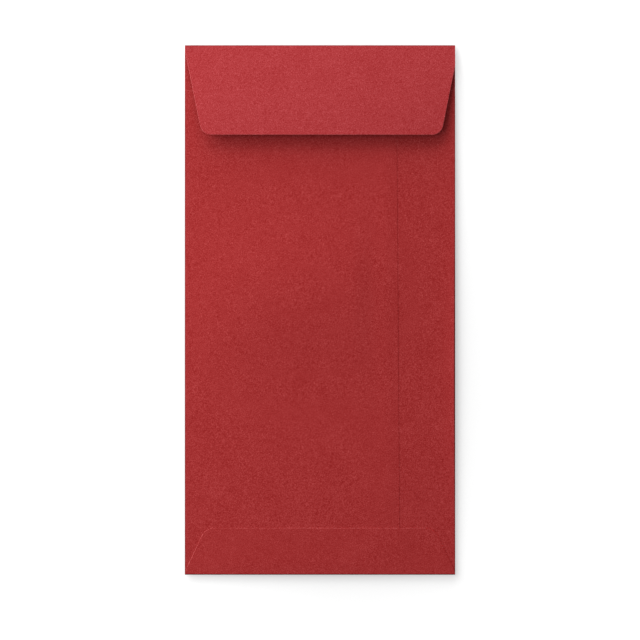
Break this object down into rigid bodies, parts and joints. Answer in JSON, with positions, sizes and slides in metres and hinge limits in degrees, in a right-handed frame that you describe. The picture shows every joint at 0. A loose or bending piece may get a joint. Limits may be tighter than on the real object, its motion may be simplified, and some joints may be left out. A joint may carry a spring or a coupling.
{
  "type": "pocket envelope",
  "caption": "Long red paper pocket envelope: seal flap on a crease over the open end, off-centre back seam and a bottom flap folded up and glued over it.",
  "frame": {"origin": "on the table under the middle of the envelope, in the plane of its address face", "axes": "+X to the right across the envelope seen from its flap side, +Y up its length to the flap fold, +Z out of the flap side"},
  "size_m": [0.12, 0.235, 0.0043],
  "materials": {
    "paper": "uncoated red paper, dyed through, matte with fine fibres",
    "dried_glue": "thin dried cream paste",
    "gum": "dried remoistening gum, a glossy clear film over red paper"
  },
  "bodies": {
    "pocket": {"front_panel": "paper", "left_crease": "paper", "right_crease": "paper", "back_panel": "paper", "seam_tab": "paper", "seam_glue": "dried_glue", "bottom_crease": "paper", "bottom_flap": "paper", "bottom_glue": "dried_glue", "flap_crease": "paper"},
    "flap": {"seal_flap": "paper", "flap_gum": "gum"}
  },
  "joints": [
    {"name": "flap_fold", "type": "hinge", "parent": "pocket", "child": "flap", "pos_m": [0, 0.11734, 0.00016], "axis": [-1, 0, 0], "range_deg": [-3.8, 172.8], "deforming": ["flap_crease"]}
  ]
}
